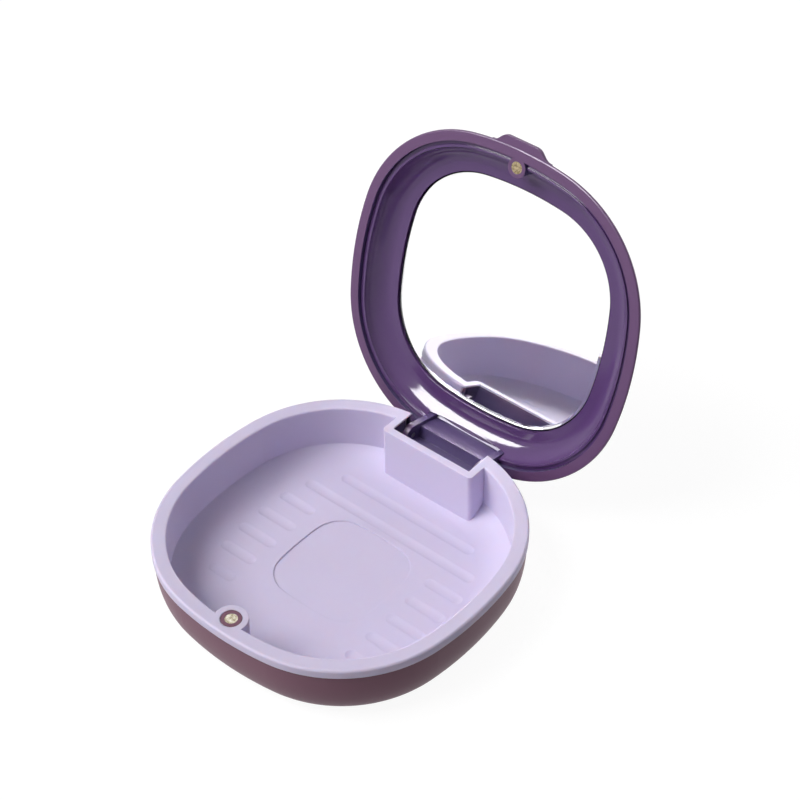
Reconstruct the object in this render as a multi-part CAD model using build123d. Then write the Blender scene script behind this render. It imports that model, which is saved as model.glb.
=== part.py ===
from build123d import *
from dataclasses import dataclass
import math
import os

# Denture case: a rounded-square base shell with a drop-in tray, and a domed lid with a mirror,
# joined by a hinge with two short pins at the back and held shut by a pair of magnets at the front.
# Millimetres. +X runs along the hinge, -Y is the front with the thumb tab, +Z is up.
# The origin is the centre of the flat underside. Every piece is drawn with the case shut,
# and the lid's pieces are then swung about the hinge pins to the open stop.

# Outline, shared by the base, the tray and the lid: four gently bowed sides and four round corners
half_width = 41.5               # the case is 83 mm across and 83 mm front to back
side_bow = 82.4                 # radius of each side
corner_radius = 33.0

# Base shell
shell_wall = 1.2
shell_floor = 1.5
shell_step = 0.35               # the shell's side stands this far inside the tray's flange
base_round = 9.0                # how far the side curls in before it meets the underside
base_round_power = 2.9
reveal_width = 0.8              # shadow groove between the shell and the tray's flange
reveal_depth = 0.35

# Inner tray
tray_floor = 1.2
tray_depth = 14.8               # from the rim's top face down to the tray's floor
flange_height = 2.3
rim_width = 3.7
rim_edge = 0.6                  # edge round on the rim's outside
rim_inner_edge = 0.4            # edge round on the rim's inside
tray_clearance = 0.3            # sideways, between the tray and the shell
tray_float = 0.05               # under the tray, whose flange carries it
cove_width = 8.0                # dished margin of the tray's floor
cove_rise = 3.0

# Tray floor pattern
groove_width = 3.0
groove_depth = 0.25
groove_pitch = 7.1
groove_back_inset = 17.5        # from the case's back to the first row
groove_long_rows = 2            # rows that cross the floor without a break
groove_inset = 12.4             # the grooves stop this far inside the outline
groove_gap = 3.6                # the other rows stop this far from the sunk square
panel_half = 14.0               # sunk square in the middle of the floor
panel_bow = 83.0
panel_corner = 7.7
panel_depth = 0.3

# Hinge
pocket_half = 11.85             # half of the hinge pocket's width
pocket_length = 8.3             # from the case's back to the pocket's front wall
housing_wall = 0.8              # the shell's own walls around the pocket
housing_clearance = 0.1         # between those walls and the tray
housing_cover = 0.5             # the tray's rim over those walls
pocket_wall = 1.0               # the tray's wall around the housing
pocket_corner = 1.0             # edge round on that wall's two upright corners
pin_diameter = 1.5
pin_inset = 2.8                 # from the case's back to the pins' axis
pin_drop = 5.1                  # pin axis below the tray's rim
pin_end_gap = 0.1
tongue_side_gap = 0.25
cheek_radius = 2.8              # rounded end of the tongue's two cheeks
cheek_width = 1.6
web_front = 1.85                # the web's front face lies this far in front of the pins' axis
web_rise = 2.4                  # the web ends this far above the pins' axis
skirt_back = 1.3                # the skirt below the web starts this far behind the pins' axis
tongue_root = 3.8               # how far the tongue climbs inside the lid
running_clearance = 0.05
open_angle = 105.6
stop_gap = 0.1                  # between the open tongue and the sill it rests on
ear_wall = 0.6                  # ear material in front of a pin and beyond its end
ear_depth = 3.75                # ear size along the pins
ear_clearance = 0.2
keeper_clearance = 0.15

# Magnets
magnet_diameter = 3.0
magnet_length = 2.0
magnet_inset = 4.55             # from the case's front to the magnets' axis
magnet_sink = 0.05
post_radius = 2.45
post_clearance = 0.12
boss_radius = 4.0

# Lid shell
lid_gap = 0.3                   # between the two rims when shut
lid_height = 12.7
lid_wall = 1.0
lid_roof = 1.3
lid_round = 24.0                # how far the dome curls in before its flat top
lid_round_power = 1.4
lip_width = 2.6
lip_edge = 0.4                  # edge round on the lip's outside
lip_band = 0.5                  # upright part of the lip, under the dome
lip_height = 2.0                # the lip's inner bead, under which the liner snaps
tab_crest = 3.8                 # half of the thumb tab's straight front edge
tab_foot = 8.4                  # half of its width where it leaves the lip
tab_reach = 2.0                 # brings the case's depth to 85 mm
tab_height = 1.4
tab_edge = 0.5                  # edge round on the tab's outside
tab_lift = 0.1                  # the tab's underside lies this far above the lip's face
standoff_radius = 2.0
standoff_offset = 15.0

# Lid liner and mirror
liner_clearance = 0.2
liner_thickness = 0.8           # liner floor behind the mirror
rib_inset = 3.6                 # thin rib around the liner, inside the lip's groove
rib_width = 0.6
rib_drop = 0.6                  # the rib's edge lies this far below the lip's face
step_depth = 1.1                # from the lip's face to the step between the lip and the rib
step_clearance = 0.1            # between that step and the lip
margin_depth = 5.1              # from the lip's face to the flat margin around the mirror
margin_cove = 4.6
margin_cove_power = 1.8
core_groove_inset = 7.2         # coring groove on the liner's hidden side
mirror_inset = 11.4             # from the case's outline to the mirror's
mirror_bow = 85.0
mirror_corner = 21.2
mirror_thickness = 1.0
mirror_sink = 0.3
mirror_bevel = 0.9
mirror_bevel_drop = 0.22
mirror_clearance = 0.12
adhesive_thickness = 0.2
adhesive_inset = 2.0

# Levels and places that follow from the sizes above
rim_z = shell_floor + tray_floor + tray_depth
floor_z = shell_floor + tray_floor
flange_z = rim_z - flange_height
pin_y = half_width - pin_inset
pin_z = rim_z - pin_drop
pocket_front_y = half_width - pocket_length
magnet_y = magnet_inset - half_width
mirror_half = half_width - mirror_inset
groove_first_y = half_width - groove_back_inset
groove_last_y = groove_inset + groove_width - half_width
lid_z = rim_z + lid_gap
pin_radius = pin_diameter / 2
tongue_half = pocket_half - tongue_side_gap
ear_front_y = pin_y - pin_radius - ear_wall
ear_outer_x = pocket_half + ear_depth
mirror_z = lid_z + margin_depth + mirror_sink
adhesive_z = mirror_z + mirror_thickness
liner_back_z = adhesive_z + adhesive_thickness + liner_thickness
tongue_back = half_width - shell_step - pin_y
above = 60.0                    # a height or reach well clear of the case


@dataclass
class Outline:
    """A rounded square: half its width, the radius of its bowed sides and that of its corners."""
    half: float
    bow: float
    corner: float

    def centres(self):
        """Where a side's arc and the corner's arc meet, in degrees, and how far out their centres are."""
        meet = 45 - math.degrees(math.asin((self.bow - self.half) / (self.bow - self.corner) / math.sqrt(2)))
        return meet, self.half - self.bow, (self.bow - self.corner) * math.sin(math.radians(meet))

    def face(self, z, inset=0.0):
        """The outline at height z, drawn in by inset all round."""
        meet, side_x, corner_x = self.centres()
        arcs = []
        for quarter in range(4):
            side = CenterArc((side_x, 0), self.bow - inset, -meet, 2 * meet)
            corner = CenterArc((corner_x, corner_x), self.corner - inset, meet, 90 - 2 * meet)
            arcs += [Pos(0, 0, z) * Rot(0, 0, 90 * quarter) * arc for arc in (side, corner)]
        return Face(Wire(arcs))

    def scaled(self, half):
        """The same rounded square at another size."""
        ratio = half / self.half
        return Outline(half, self.bow * ratio, self.corner * ratio)

    def reach(self, y, inset):
        """How far from the middle the drawn-in outline is at this y."""
        meet, side_x, corner_x = self.centres()
        side, corner = self.bow - inset, self.corner - inset
        if abs(y) <= side * math.sin(math.radians(meet)):
            return side_x + math.sqrt(side ** 2 - y ** 2)
        return corner_x + math.sqrt(corner ** 2 - (abs(y) - corner_x) ** 2)


case_outline = Outline(half_width, side_bow, corner_radius)
panel_outline = Outline(panel_half, panel_bow, panel_corner)
mirror_outline = Outline(mirror_half, mirror_bow, mirror_corner)


def slab(z_low, z_high, inset=0.0, outline=case_outline):
    """A straight-sided block with a rounded-square outline."""
    return Solid.extrude(outline.face(z_low, inset), Vector(0, 0, z_high - z_low))


def loft(faces, ruled=False):
    """A solid through a stack of outlines."""
    return Solid.make_loft([face.outer_wire() for face in faces], ruled)


def curl(z_start, z_end, inset_start, inset_gain, power, steps=7):
    """A block whose side leaves z_start upright and curls in by inset_gain to lie flat at z_end."""
    faces = []
    for step in range(steps + 1):
        reach = math.sin(math.pi / 2 * step / steps)
        inset = inset_start + inset_gain * (1 - (1 - reach ** power) ** (1 / power))
        faces.append(case_outline.face(z_start + (z_end - z_start) * reach, inset))
    return loft(faces)


def dome(z_start, z_end, inset_start, inset_gain, power, steps=9):
    """Like curl, for a deep curl: its outlines shrink in proportion, so their corners stay round."""
    faces = []
    for step in range(steps + 1):
        reach = math.sin(math.pi / 2 * step / steps)
        inset = inset_start + inset_gain * (1 - (1 - reach ** power) ** (1 / power))
        faces.append(case_outline.scaled(half_width - inset).face(z_start + (z_end - z_start) * reach))
    return loft(faces)


def block(x_low, x_high, y_low, y_high, z_low, z_high):
    """A box given by its two corners."""
    size = (x_high - x_low, y_high - y_low, z_high - z_low)
    return Pos(x_low, y_low, z_low) * Box(*size, align=(Align.MIN, Align.MIN, Align.MIN))


def post(x, y, z_low, z_high, radius):
    """An upright round bar."""
    height = z_high - z_low
    return Pos(x, y, z_low) * Cylinder(radius, height, align=(Align.CENTER, Align.CENTER, Align.MIN))


def hinge_bar(half_length, radius):
    """A round bar along the hinge axis."""
    return Pos(0, pin_y, pin_z) * Rot(0, 90, 0) * Cylinder(radius, 2 * half_length)


def shell_cavity():
    """Room inside the base shell, which the tray fills but for its clearance."""
    return curl(flange_z, shell_floor, shell_step + shell_wall, base_round, base_round_power)


def hinge_ears(z_high, grow=0.0):
    """The two blocks that carry the pins, one on each side of the hinge pocket."""
    ears = []
    for side in (-1, 1):
        x_low, x_high = sorted((side * pocket_half, side * (ear_outer_x + grow)))
        ears.append(block(x_low, x_high, ear_front_y - grow, above, shell_floor, z_high))
    return ears


def hinge_housing(grow, z_low, z_high):
    """The hinge pocket as a block that runs out of the back, grown sideways and forward."""
    half = pocket_half + grow
    return block(-half, half, pocket_front_y - grow, above, z_low, z_high)


def base_shell():
    outer = curl(flange_z, 0, shell_step, base_round, base_round_power)
    shell = outer - shell_cavity()
    cover_z = rim_z - housing_cover - tray_float
    walls = hinge_housing(housing_wall, shell_floor, cover_z) - hinge_housing(0, shell_floor, above)
    shell += walls & (outer + slab(flange_z, rim_z, shell_step))
    reveal_z = flange_z - reveal_depth
    shell -= slab(reveal_z, above) - slab(reveal_z, above, reveal_width)
    for ear in hinge_ears(flange_z):
        shell += ear & outer
    shell += post(0, magnet_y, 0, rim_z - magnet_sink, post_radius) & (outer + slab(flange_z, rim_z))
    shell -= post(0, magnet_y, rim_z - 2 * magnet_sink - magnet_length, above, magnet_diameter / 2)
    # Pin saddles: a bore in each ear, open at the top so that the pins drop in with the lid
    bore_half = ear_outer_x - ear_wall
    shell -= hinge_bar(bore_half, pin_radius)
    shell -= block(-bore_half, bore_half, pin_y - pin_radius, pin_y + pin_radius, pin_z, above)
    # Back opening: its sill slopes like the open tongue, which rests on it
    opening = block(-pocket_half, pocket_half, -5, above, -tongue_back - stop_gap, above)
    shell -= Pos(0, pin_y, pin_z) * Rot(90 - open_angle, 0, 0) * opening
    return shell - hinge_bar(pocket_half, cheek_radius + stop_gap)


def tray_grooves():
    """Shallow round-bottomed grooves along X; the middle rows leave the sunk square free."""
    grooves = []
    radius = (groove_width ** 2 / 4 + groove_depth ** 2) / (2 * groove_depth)
    axis_z = floor_z - groove_depth + radius
    rows = int((groove_first_y - groove_last_y) / groove_pitch) + 1
    for row in range(rows):
        y = groove_first_y - row * groove_pitch
        reach = case_outline.reach(y, groove_inset)
        inner = 0 if row < groove_long_rows else panel_half + groove_gap
        spans = [(-reach, reach)] if inner == 0 else [(-reach, -inner), (inner, reach)]
        for low, high in spans:
            if high - low < 2 * groove_width:
                continue
            ends = (low + groove_width / 2, high - groove_width / 2)
            middle = Pos(sum(ends) / 2, y, axis_z) * Rot(0, 90, 0)
            grooves.append(middle * Cylinder(radius, ends[1] - ends[0]))
            grooves += [Pos(x, y, axis_z) * Sphere(radius) for x in ends]
    return [groove & slab(0, floor_z + groove_depth) for groove in grooves]


def tray_hollow():
    """The room inside the tray: upright walls over a dished floor."""
    wall_foot = floor_z + cove_rise
    hollow = slab(wall_foot, above, rim_width)
    dish = [case_outline.face(floor_z, rim_width + cove_width)]
    radius = (cove_width ** 2 + cove_rise ** 2) / (2 * cove_rise)
    for step in range(1, 7):
        reach = cove_width * step / 6
        rise = radius - math.sqrt(radius ** 2 - reach ** 2)
        dish.append(case_outline.face(floor_z + rise, rim_width + cove_width - reach))
    return hollow + loft(dish)


def inner_tray():
    side = shell_step + shell_wall + tray_clearance
    envelope = slab(flange_z, rim_z)
    envelope = fillet(envelope.edges().group_by(Axis.Z)[-1], rim_edge)
    envelope += curl(flange_z, shell_floor + tray_float, side, base_round, base_round_power)
    tray = envelope - tray_hollow()
    rim_face = tray.faces().sort_by(Axis.Z)[-1]
    tray = tray.fillet(rim_inner_edge, rim_face.inner_wires()[0].edges())
    box = hinge_housing(housing_wall + housing_clearance + pocket_wall, 0, above)
    tray += envelope & fillet(box.edges().filter_by(Axis.Z).group_by(Axis.Y)[0], pocket_corner)
    tray += envelope & post(0, magnet_y, 0, above, boss_radius)
    tray -= post(0, magnet_y, 0, above, post_radius + post_clearance)
    tray -= hinge_housing(housing_wall + housing_clearance, 0, rim_z - housing_cover)
    tray -= hinge_housing(0, 0, above)
    for relief in hinge_ears(flange_z, ear_clearance):
        tray -= relief
    # The flange's keepers close the pin saddles from above
    keeper_y = pin_radius - keeper_clearance
    for side_sign in (-1, 1):
        inner_x = pocket_half + housing_wall + housing_clearance
        outer_x = ear_outer_x - ear_wall - keeper_clearance
        low, high = sorted((side_sign * inner_x, side_sign * outer_x))
        keeper_foot = pin_z + pin_radius + keeper_clearance
        tray += block(low, high, pin_y - keeper_y, pin_y + keeper_y, keeper_foot, flange_z)
    for groove in tray_grooves():
        tray -= groove
    tray -= slab(floor_z - panel_depth, above, 0, panel_outline)
    return tray


def base_magnet():
    top = rim_z - 2 * magnet_sink
    return post(0, magnet_y, top - magnet_length, top, magnet_diameter / 2)


def hinge_pins():
    """The two short pins: each runs from the inner face of a cheek into the ear beside it."""
    outer_x = ear_outer_x - ear_wall - pin_end_gap
    bar = hinge_bar(outer_x, pin_radius)
    inner_x = tongue_half - cheek_width
    return bar & block(-above, -inner_x, 0, above, 0, above), bar & block(inner_x, above, 0, above, 0, above)


def lid_envelope():
    """The lid's outside: a short upright lip, eased at its edge, under a low dome."""
    lip = slab(lid_z, lid_z + lip_band)
    lip = fillet(lip.edges().group_by(Axis.Z)[0], lip_edge)
    return lip + dome(lid_z + lip_band, lid_z + lid_height, 0, lid_round, lid_round_power)


def lid_cavity(clearance=0.0):
    """Room inside the dome, over the lip's bead."""
    top = lid_z + lid_height - lid_roof
    room = dome(lid_z + lip_band, top, lid_wall + clearance, lid_round, lid_round_power)
    return room & slab(lid_z + lip_height, above)


def hinge_tongue():
    """Two cheeks that turn on the pins, with a web between them that hangs from the lid's back.

    Below the web a skirt closes the back opening when the case is shut."""
    top = lid_z + tongue_root
    cheek_front = pin_y - cheek_radius
    web_half = tongue_half - cheek_width
    tongue = hinge_bar(tongue_half, cheek_radius)
    tongue += block(-tongue_half, tongue_half, cheek_front, above, pin_z, top)
    tongue -= block(-web_half, web_half, cheek_front - 1, pin_y - web_front, 0, above)
    tongue -= block(-web_half, web_half, cheek_front - 1, pin_y + skirt_back, 0, pin_z + web_rise)
    below_lip = slab(0, lid_z + lip_edge / 2, shell_step)
    below_lip += slab(0, lid_z + lip_height + lip_edge, lip_width / 2)
    tongue &= below_lip + lid_cavity(-lid_wall / 2)
    return tongue - hinge_bar(tongue_half + 1, pin_radius + running_clearance)


def thumb_tab():
    """The lip's forward lug: a straight crest that falls to the lip in an ogee on each side."""
    front = -half_width - tab_reach
    back = -half_width + lip_width / 2
    root = -case_outline.reach(tab_foot, 0)
    left = Spline((-tab_foot, root), (-tab_crest, front), tangents=((1, 0), (1, 0)))
    right = Spline((tab_crest, front), (tab_foot, root), tangents=((1, 0), (1, 0)))
    crest = Line(left @ 1, right @ 0)
    heel = Polyline(right @ 1, (tab_foot, back), (-tab_foot, back), left @ 0)
    plan = make_face([left, crest, right, heel])
    tab = Pos(0, 0, lid_z + tab_lift) * extrude(plan, amount=tab_height - tab_lift)
    return fillet(tab.faces().sort_by(Axis.Z)[-1].edges().sort_by(Axis.Y)[:3], tab_edge)


def lid_shell():
    outer = lid_envelope()
    shell = outer - (lid_cavity() + slab(0, lid_z + lip_height, lip_width))
    shell += thumb_tab() - slab(0, above, lip_width)
    shell += outer & post(0, magnet_y, lid_z, above, post_radius)
    for x in (-standoff_offset, standoff_offset):
        for y in (-standoff_offset, standoff_offset):
            shell += outer & post(x, y, liner_back_z, above, standoff_radius)
    shell += hinge_tongue()
    shell -= post(0, magnet_y, 0, lid_z + magnet_sink + magnet_length, magnet_diameter / 2)
    return shell


def lid_liner():
    rib_z = lid_z + rib_drop
    margin_z = lid_z + margin_depth
    ledge_z = lid_z + lip_height
    seam_z = ledge_z + step_clearance
    liner = lid_cavity(liner_clearance) & slab(ledge_z, liner_back_z)
    liner += slab(rib_z, seam_z, rib_inset)
    liner += slab(lid_z + step_depth, seam_z, lip_width + step_clearance)
    liner -= curl(rib_z, margin_z, rib_inset + rib_width, margin_cove, margin_cove_power, 8)
    liner -= slab(margin_z - 1, adhesive_z + adhesive_thickness, -mirror_clearance, mirror_outline)
    core_floor = margin_z + lid_wall
    core_outer = slab(core_floor, above, core_groove_inset)
    core_inner = slab(core_floor, above, -mirror_clearance - lid_wall, mirror_outline)
    liner -= core_outer - core_inner
    liner -= post(0, magnet_y, 0, above, post_radius + post_clearance)
    notch_half = tongue_half + liner_clearance
    notch_y = pin_y - cheek_radius - liner_clearance
    liner -= block(-notch_half, notch_half, notch_y, above, 0, lid_z + tongue_root + liner_clearance)
    return liner


def mirror():
    top = mirror_z + mirror_thickness
    glass = slab(mirror_z + mirror_bevel_drop, top, 0, mirror_outline)
    bevel = [
        mirror_outline.face(mirror_z + mirror_bevel_drop),
        mirror_outline.face(mirror_z, mirror_bevel),
    ]
    return glass + loft(bevel, ruled=True)


def mirror_adhesive():
    return slab(adhesive_z, adhesive_z + adhesive_thickness, adhesive_inset, mirror_outline)


def lid_magnet():
    low = lid_z + magnet_sink
    return post(0, magnet_y, low, low + magnet_length, magnet_diameter / 2)


def swung_open(shape):
    """Turn a lid piece about the hinge pin from shut to the open stop."""
    return shape.rotate(Axis((0, pin_y, pin_z), (1, 0, 0)), -open_angle)


def main():
    os.makedirs("parts", exist_ok=True)
    base_pieces = (base_shell, inner_tray, base_magnet)
    lid_pieces = (lid_shell, lid_liner, mirror, mirror_adhesive, lid_magnet)
    for piece in base_pieces:
        export_step(piece(), f"parts/{piece.__name__}.step")
    for piece in lid_pieces:
        export_step(swung_open(piece()), f"parts/{piece.__name__}.step")
    for side, pin in zip(("left", "right"), hinge_pins()):
        export_step(pin, f"parts/hinge_pin_{side}.step")


main()
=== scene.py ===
import math

import bmesh
import bpy
from mathutils import Matrix, Vector


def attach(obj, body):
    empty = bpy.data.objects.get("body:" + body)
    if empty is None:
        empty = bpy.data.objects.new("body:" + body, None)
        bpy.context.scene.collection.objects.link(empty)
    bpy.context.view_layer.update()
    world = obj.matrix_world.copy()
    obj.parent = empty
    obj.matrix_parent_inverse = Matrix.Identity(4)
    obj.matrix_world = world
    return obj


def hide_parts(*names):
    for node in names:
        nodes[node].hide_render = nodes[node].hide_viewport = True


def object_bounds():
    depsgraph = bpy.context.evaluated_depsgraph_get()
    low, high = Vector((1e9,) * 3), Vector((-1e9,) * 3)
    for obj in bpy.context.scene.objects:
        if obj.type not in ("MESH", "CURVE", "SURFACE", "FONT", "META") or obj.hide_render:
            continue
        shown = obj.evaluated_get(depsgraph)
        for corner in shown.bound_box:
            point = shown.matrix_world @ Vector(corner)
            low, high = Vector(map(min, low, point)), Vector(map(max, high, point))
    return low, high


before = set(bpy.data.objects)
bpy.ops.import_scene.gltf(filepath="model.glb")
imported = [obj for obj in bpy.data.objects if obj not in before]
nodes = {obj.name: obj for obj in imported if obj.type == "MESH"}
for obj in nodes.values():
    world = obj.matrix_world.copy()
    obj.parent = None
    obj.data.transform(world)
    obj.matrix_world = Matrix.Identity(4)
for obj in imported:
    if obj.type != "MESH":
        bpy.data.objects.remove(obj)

# A denture case standing open: a mauve bowl with a lilac drop-in tray, and a plum lid with a
# bevelled mirror. Metres, in the case's own frame: +X along the hinge, -Y front, +Z up.
cad_low, cad_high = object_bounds()
case_centre = (cad_low + cad_high) / 2
millimetre = 0.001


# ---------------------------------------------------------------- camera

camera_azimuth = math.radians(40.46)
camera_elevation = math.radians(42.49)
camera_roll = math.radians(-0.76)
camera_distance = 0.52219
camera_lens = 94.75
camera_film = 36
camera_aim = Vector((-0.01716, 0.04218, 0.0175))


def set_camera():
    """A long lens from the front right and above."""
    camera = bpy.data.cameras.new("camera")
    camera.lens = camera_lens
    camera.sensor_width = camera_film
    camera.clip_start = 10 * millimetre
    turn = Matrix.Rotation(camera_azimuth, 4, "Z")
    tilt = Matrix.Rotation(math.pi / 2 - camera_elevation, 4, "X")
    roll = Matrix.Rotation(camera_roll, 4, "Z")
    holder = bpy.data.objects.new("camera", camera)
    holder.matrix_world = Matrix.Translation(camera_aim) @ turn @ tilt @ roll
    holder.matrix_world @= Matrix.Translation((0, 0, camera_distance))
    bpy.context.scene.collection.objects.link(holder)
    bpy.context.scene.camera = holder


# ---------------------------------------------------------------- shader helpers

def linear(colour):
    """An sRGB hex colour as the linear values that sockets take."""
    parts = [int(colour[i:i + 2], 16) / 255 for i in (1, 3, 5)]
    return [p / 12.92 if p <= 0.04045 else ((p + 0.055) / 1.055) ** 2.4 for p in parts] + [1.0]


def add_node(tree, kind, settings=None, links=None):
    """Adds a shader node, sets its properties and fills its sockets with values or other sockets."""
    node = tree.nodes.new("ShaderNode" + kind)
    for name, value in (settings or {}).items():
        setattr(node, name, value)
    for key, value in (links or {}).items():
        if isinstance(value, bpy.types.NodeSocket):
            tree.links.new(value, node.inputs[key])
        else:
            node.inputs[key].default_value = value
    return node


def new_material(name):
    """An empty material, its node tree and its output node."""
    material = bpy.data.materials.new(name)
    material.use_nodes = True
    material.node_tree.nodes.clear()
    return material, material.node_tree, add_node(material.node_tree, "OutputMaterial")


def finish_surface(tree, output, links):
    """Ends a material in one Principled shader."""
    surface = add_node(tree, "BsdfPrincipled", links=links)
    tree.links.new(surface.outputs[0], output.inputs["Surface"])


# ---------------------------------------------------------------- moulded plastics

flow_length = 28 * millimetre       # from one paler or darker streak of the melt to the next
ripple_length = 6 * millimetre      # of the slow swell that shrinkage leaves in the skin
# painted shade: walls of one part nearer than this darken the ones that they face
painted_shade_reach = 22 * millimetre     # a wall nearer than this shelters the one that it faces
milk_depth = 1.6 * millimetre       # how far light wanders inside a pale plastic
abs_ior = 1.53


def moulded_plastic(name, colour, roughness, shine, grain, grain_height, ripple_height, edge_radius,
                    recess_shade=None, milk=0.0):
    """Injection-moulded plastic, with its last lengths in millimetres.

    The colour drifts a little where the melt flowed, the mould's texture gives a fine grain, and
    the skin's shrinkage gives a slow ripple a few millimetres long. The mould's own grain is a
    tenth of a millimetre or less, so grain is drawn coarser than that, to show at all.
    Edges are as round as the mould's, so that they catch a thin line of light. A recess shade is a darker,
    bluer colour painted as shade where the part's own walls close in, as deep in the hinge's pocket. Milk is
    how much of the light wanders through a pale plastic before it comes out."""
    material, tree, output = new_material(name)
    place = add_node(tree, "TexCoord").outputs["Object"]
    flow = add_node(tree, "TexNoise", links={"Vector": place, "Scale": 1 / flow_length, "Detail": 2.0})
    base = linear(colour)
    light = [min(1.0, part * 1.04) for part in base[:3]] + [1.0]
    dark = [part * 0.95 for part in base[:3]] + [1.0]
    skin = add_node(tree, "Mix", {"data_type": "RGBA"}, {0: flow.outputs[0], 6: dark, 7: light}).outputs[2]
    # Painted shade: where ambient occlusion finds the part's own walls close, the colour turns to the recess
    # shade
    if recess_shade:
        opening = add_node(tree, "AmbientOcclusion", {"samples": 8, "only_local": True},
                           {"Distance": painted_shade_reach})
        unshaded_share = add_node(tree, "MapRange", links={"Value": opening.outputs["AO"],
                                                  "From Min": 0.75, "From Max": 0.98})
        skin = add_node(tree, "Mix", {"data_type": "RGBA"},
                        {0: unshaded_share.outputs[0], 6: linear(recess_shade), 7: skin}).outputs[2]
    texture = add_node(tree, "TexNoise", links={"Vector": place, "Scale": 1 / (grain * millimetre),
                                                "Detail": 3.0, "Roughness": 0.6})
    rough = add_node(tree, "MapRange", links={"Value": texture.outputs[0], "From Min": 0.3, "From Max": 0.7,
                                              "To Min": roughness * 0.9, "To Max": roughness * 1.1})
    ripple = add_node(tree, "TexNoise", links={"Vector": place, "Scale": 1 / ripple_length, "Detail": 1.0})
    edge = add_node(tree, "Bevel", {"samples": 6}, {"Radius": edge_radius * millimetre})
    swell = add_node(tree, "Bump", links={"Height": ripple.outputs[0], "Strength": 1.0,
                                          "Distance": ripple_height * millimetre, "Normal": edge.outputs[0]})
    bump = add_node(tree, "Bump", links={"Height": texture.outputs[0], "Strength": 1.0,
                                         "Distance": grain_height * millimetre, "Normal": swell.outputs[0]})
    finish_surface(tree, output, {"Base Color": skin, "Roughness": rough.outputs[0], "IOR": abs_ior,
                                  "Specular IOR Level": shine, "Subsurface Weight": milk,
                                  "Subsurface Radius": (1.0, 0.7, 0.6), "Subsurface Scale": milk_depth,
                                  "Normal": bump.outputs[0]})
    return material


# ---------------------------------------------------------------- metals, glass and tape

scratch_width = 0.3 * millimetre    # real hairlines are finer: drawn this wide to show
mottle_size = 0.7 * millimetre


def plated_metal(name, bright, dull, roughness):
    """A plated or drawn metal: its skin is mottled where it has dulled, with hairline scratches."""
    material, tree, output = new_material(name)
    place = add_node(tree, "TexCoord").outputs["Object"]
    mottle = add_node(tree, "TexNoise", links={"Vector": place, "Scale": 1 / mottle_size, "Detail": 3.0})
    patch = add_node(tree, "MapRange", links={"Value": mottle.outputs[0],
                                              "From Min": 0.35, "From Max": 0.65})
    tone = add_node(tree, "Mix", {"data_type": "RGBA"},
                    {0: patch.outputs[0], 6: linear(dull), 7: linear(bright)})
    stretch = add_node(tree, "Mapping", links={"Vector": place, "Scale": (1.0, 6.0, 6.0)})
    lines = add_node(tree, "TexNoise", links={"Vector": stretch.outputs[0], "Scale": 1 / scratch_width,
                                              "Detail": 4.0})
    rough = add_node(tree, "MapRange", links={"Value": lines.outputs[0], "To Min": roughness * 0.7,
                                              "To Max": roughness * 1.3})
    bump = add_node(tree, "Bump", links={"Height": lines.outputs[0], "Strength": 1.0,
                                         "Distance": 0.004 * millimetre})
    finish_surface(tree, output, {"Base Color": tone.outputs[2], "Metallic": 1.0,
                                  "Roughness": rough.outputs[0], "Normal": bump.outputs[0]})
    return material


def float_glass():
    """Clear float glass: polished faces, with the faint unevenness of rolled sheet."""
    material, tree, output = new_material("polished_float_glass")
    place = add_node(tree, "TexCoord").outputs["Object"]
    sheet = add_node(tree, "TexNoise", links={"Vector": place, "Scale": 1 / (25 * millimetre),
                                              "Detail": 1.0})
    bump = add_node(tree, "Bump", links={"Height": sheet.outputs[0], "Strength": 1.0,
                                         "Distance": 0.004 * millimetre})
    finish_surface(tree, output, {"Base Color": linear("#ffffff"), "Roughness": 0.0, "IOR": 1.52,
                                  "Transmission Weight": 1.0, "Normal": bump.outputs[0]})
    return material


def edge_paint_and_shade():
    """The sheet's cut side and its arris, ground by a stone and sealed with black lacquer, whose near-black
    also paints the shade line round the mirror's edge.
    """
    material, tree, output = new_material("edge_lacquer_and_shade_black")
    place = add_node(tree, "TexCoord").outputs["Object"]
    grit = add_node(tree, "TexNoise", links={"Vector": place, "Scale": 1 / (0.12 * millimetre),
                                             "Detail": 3.0})
    tone = add_node(tree, "Mix", {"data_type": "RGBA"},
                    {0: grit.outputs[0], 6: linear("#15121c"), 7: linear("#2b2634")})
    bump = add_node(tree, "Bump", links={"Height": grit.outputs[0], "Strength": 1.0,
                                         "Distance": 0.01 * millimetre})
    finish_surface(tree, output, {"Base Color": tone.outputs[2], "Roughness": 0.5, "IOR": 1.5,
                                  "Specular IOR Level": 0.1, "Normal": bump.outputs[0]})
    return material


def silver_coat():
    """The silver behind the glass, a bright neutral mirror with a trace of cloud."""
    material, tree, output = new_material("silvered_back")
    place = add_node(tree, "TexCoord").outputs["Object"]
    cloud = add_node(tree, "TexNoise", links={"Vector": place, "Scale": 1 / (9 * millimetre), "Detail": 3.0})
    tone = add_node(tree, "Mix", {"data_type": "RGBA"},
                    {0: cloud.outputs[0], 6: linear("#fcfcfc"), 7: linear("#ffffff")})
    finish_surface(tree, output, {"Base Color": tone.outputs[2], "Metallic": 1.0, "Roughness": 0.0})
    return material


def foam_tape():
    """Closed-cell foam tape: near black, with open cells along its cut edge."""
    material, tree, output = new_material("foam_tape_black")
    place = add_node(tree, "TexCoord").outputs["Object"]
    cells = add_node(tree, "TexVoronoi", links={"Vector": place, "Scale": 1 / (0.25 * millimetre)})
    tone = add_node(tree, "Mix", {"data_type": "RGBA"},
                    {0: cells.outputs[0], 6: linear("#0e0e10"), 7: linear("#2a2a2d")})
    bump = add_node(tree, "Bump", links={"Height": cells.outputs[0], "Strength": 1.0,
                                         "Distance": 0.05 * millimetre})
    finish_surface(tree, output, {"Base Color": tone.outputs[2], "Roughness": 0.9,
                                  "Normal": bump.outputs[0]})
    return material


# ---------------------------------------------------------------- finishes of the CAD pieces

def coat_nodes(material, *names):
    """Gives CAD pieces one finish all over."""
    for name in names:
        slots = nodes[name].data.materials
        slots.clear()
        slots.append(material)


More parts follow.
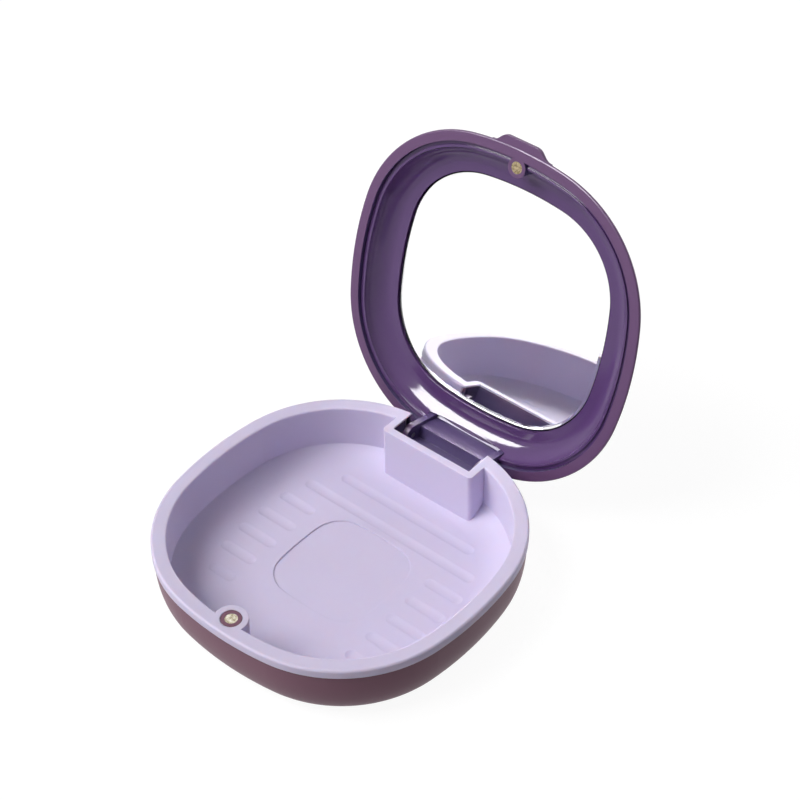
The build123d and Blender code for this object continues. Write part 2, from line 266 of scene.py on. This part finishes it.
def coat_case():
    """Every CAD piece's finish; the mirror has its own piece."""
    # The bowl: satin ABS, which spreads its highlights wide
    # Painted shade: a darker, bluer colour in the bowl's hollows and the hinge pocket
    coat_nodes(moulded_plastic("satin_abs_mauve", "#7a5566", roughness=0.42, shine=0.14, grain=0.3,
                               grain_height=0.004, ripple_height=0.004, edge_radius=0.1,
                               recess_shade="#50486a"), "base_shell")
    # The lid's outside: the same plastic from a finer mould, so that its dome is a little glossier
    # Painted shade: a darker, bluer colour in the hinge tongue's hollows
    coat_nodes(moulded_plastic("satin_abs_plum", "#64446d", roughness=0.34, shine=0.3, grain=0.3,
                               grain_height=0.002, ripple_height=0.004, edge_radius=0.08,
                               recess_shade="#544672"), "lid_shell")
    # The liner: ABS from a polished mould, whose long clear reflections the ripple bends
    coat_nodes(moulded_plastic("polished_abs_plum", "#593e6f", roughness=0.1, shine=0.32, grain=0.5,
                               grain_height=0.0006, ripple_height=0.005, edge_radius=0.2), "lid_liner")
    # The tray: a matt, faintly translucent lilac that shows no clear reflection
    coat_nodes(moulded_plastic("matt_abs_lilac", "#d0c7e1", roughness=0.7, shine=0.2, grain=0.3,
                               grain_height=0.004, ripple_height=0.004, edge_radius=0.3,
                               milk=0.5), "inner_tray")
    coat_nodes(foam_tape(), "mirror_adhesive")
    # Nickel over the magnets: yellowish patches where it has dulled; the lid's magnet is drawn darker as
    # painted shade
    coat_nodes(plated_metal("nickel_plate_lit", "#dcd8c8", "#a89c82", roughness=0.26), "base_magnet")
    coat_nodes(plated_metal("nickel_plate_shaded", "#b2a284", "#7c6c50", roughness=0.26), "lid_magnet")
    # The hinge pins: bright wire, cut to length
    coat_nodes(plated_metal("drawn_steel_wire", "#c0c0c0", "#a4a4a4", roughness=0.3),
               "hinge_pin_left", "hinge_pin_right")


# ---------------------------------------------------------------- mirror

open_angle = math.radians(105.6)
mirror_facing = Vector((0, -math.sin(open_angle), -math.cos(open_angle)))
tape_gap = 0.02 * millimetre        # keeps the silver and the tape out of one plane
arris_width = 0.28 * millimetre
front_glass, side_paint_and_shade, back_silver = range(3)


def mirror_glass():
    """The bevelled sheet as it is made: clear faces, a dark sealed edge that also paints the shade line
    round it, and silver on its back.
    """
    shape = bmesh.new()
    shape.from_mesh(nodes["mirror"].data)
    bmesh.ops.remove_doubles(shape, verts=shape.verts, dist=0.001 * millimetre)
    bmesh.ops.dissolve_limit(shape, angle_limit=math.radians(0.5), verts=shape.verts, edges=shape.edges)
    back = {corner for face in shape.faces if face.normal.dot(mirror_facing) < -0.5 for corner in face.verts}
    bmesh.ops.translate(shape, verts=list(back), vec=mirror_facing * tape_gap)
    for face in shape.faces:
        facing = face.normal.dot(mirror_facing)
        face.material_index = side_paint_and_shade
        if facing > 0.5:
            face.material_index = front_glass
        if facing < -0.5:
            face.material_index = back_silver
        face.smooth = True
    rim = [edge for edge in shape.edges
           if {face.material_index for face in edge.link_faces} == {front_glass, side_paint_and_shade}]
    arris = bmesh.ops.bevel(shape, geom=rim, offset=arris_width, segments=1, profile=0.5,
                            affect="EDGES", material=-1)
    for face in arris["faces"]:
        face.material_index = side_paint_and_shade
    mesh = bpy.data.meshes.new("mirror_glass")
    shape.to_mesh(mesh)
    shape.free()
    mesh.set_sharp_from_angle(angle=math.radians(11))
    for material in (float_glass(), edge_paint_and_shade(), silver_coat()):
        mesh.materials.append(material)
    glass = bpy.data.objects.new("mirror_glass", mesh)
    bpy.context.scene.collection.objects.link(glass)
    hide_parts("mirror")
    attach(glass, "lid")


# ---------------------------------------------------------------- floor and light

world_light = 0.1       # even light on the case; to the eye the world is 1, which is white
floor_size = 3.0
floor_bounce = 0.5      # how pale the floor is to rays that only carry light
floor_shade = 0.12      # how dark the case's shadow may be, just beside it
floor_lit = 0.6         # what the lamps give a white board, so that board and glow together are white
shade_starts = 0.12     # the shadow fades out between these two distances from the origin
shade_ends = 0.45
lamp_distance = 1.0


def white_for_sight(tree):
    """1 for rays that are seen, straight or in gloss or glass, and 0 for rays that only carry light."""
    path = add_node(tree, "LightPath")
    mirrored = add_node(tree, "Math", {"operation": "MAXIMUM"},
                        {0: path.outputs["Is Glossy Ray"], 1: path.outputs["Is Transmission Ray"]})
    return add_node(tree, "Math", {"operation": "MAXIMUM"},
                    {0: path.outputs["Is Camera Ray"], 1: mirrored.outputs[0]}).outputs[0]


def set_world():
    """White to the eye, a dimmer even light to the case."""
    world = bpy.data.worlds.new("studio")
    world.use_nodes = True
    tree = world.node_tree
    tree.nodes.clear()
    seen = white_for_sight(tree)
    strength = add_node(tree, "MapRange", links={"Value": seen, "To Min": world_light, "To Max": 1.0})
    glow = add_node(tree, "Background", links={"Color": (1, 1, 1, 1), "Strength": strength.outputs[0]})
    add_node(tree, "OutputWorld", links={"Surface": glow.outputs[0]})
    bpy.context.scene.world = world


def add_floor():
    """A wide pale floor: it takes the case's shadow near it and fades to plain white further out."""
    mesh = bpy.data.meshes.new("floor")
    shape = bmesh.new()
    bmesh.ops.create_grid(shape, x_segments=1, y_segments=1, size=floor_size)
    shape.to_mesh(mesh)
    shape.free()
    floor = bpy.data.objects.new("floor", mesh)
    bpy.context.scene.collection.objects.link(floor)
    material, tree, output = new_material("painted_board_white")
    seen = white_for_sight(tree)
    place = add_node(tree, "TexCoord").outputs["Object"]
    away = add_node(tree, "VectorMath", {"operation": "LENGTH"}, {0: place}).outputs["Value"]
    shade = add_node(tree, "MapRange", links={"Value": away, "From Min": shade_starts,
                                              "From Max": shade_ends, "To Min": floor_shade,
                                              "To Max": 0.0}).outputs[0]
    tone = add_node(tree, "MapRange", links={"Value": seen, "To Min": floor_bounce, "To Max": shade})
    board = add_node(tree, "BsdfDiffuse", links={"Color": tone.outputs[0]})
    white = add_node(tree, "Math", {"operation": "MULTIPLY_ADD"},
                     {0: shade, 1: -floor_lit, 2: 1.0}).outputs[0]
    lift = add_node(tree, "MapRange", links={"Value": seen, "To Min": 0.0, "To Max": white})
    glow = add_node(tree, "Emission", links={"Color": (1, 1, 1, 1), "Strength": lift.outputs[0]})
    both = add_node(tree, "AddShader", links={0: board.outputs[0], 1: glow.outputs[0]})
    tree.links.new(both.outputs[0], output.inputs["Surface"])
    mesh.materials.append(material)


def add_softbox(name, direction, width, height, power, diffuse=True, glossy=True):
    """A rectangular lamp that faces the case; its height runs up and over towards the zenith."""
    lamp = bpy.data.lights.new(name, "AREA")
    lamp.shape = "RECTANGLE"
    lamp.size = width
    lamp.size_y = height
    lamp.energy = power
    holder = bpy.data.objects.new(name, lamp)
    holder.location = case_centre + Vector(direction).normalized() * lamp_distance
    holder.rotation_euler = (case_centre - holder.location).to_track_quat("-Z", "Y").to_euler()
    holder.visible_diffuse = diffuse
    holder.visible_glossy = glossy
    bpy.context.scene.collection.objects.link(holder)


def add_lamps():
    """A tall window at the front left, the table's own glow, and a weak fill from behind."""
    add_softbox("window_light", (-0.46, -0.53, 0.86), width=0.65, height=0.65, power=10.0, glossy=False)
    # The window again, as polished plastic shows it: the bright crescent inside the lid
    add_softbox("window_sheen", (-0.32, -0.55, 0.77), width=0.55, height=1.1, power=60.0, diffuse=False)
    add_softbox("table_glow", (-0.25, -0.95, 0.06), width=0.9, height=0.25, power=1.6, glossy=False)
    add_softbox("back_fill", (0.1, 0.95, 0.28), width=0.5, height=0.4, power=6.0, glossy=False)


# ---------------------------------------------------------------- the scene

coat_case()
mirror_glass()
set_camera()
set_world()
add_floor()
add_lamps()
bpy.context.scene.view_settings.view_transform = "Standard"
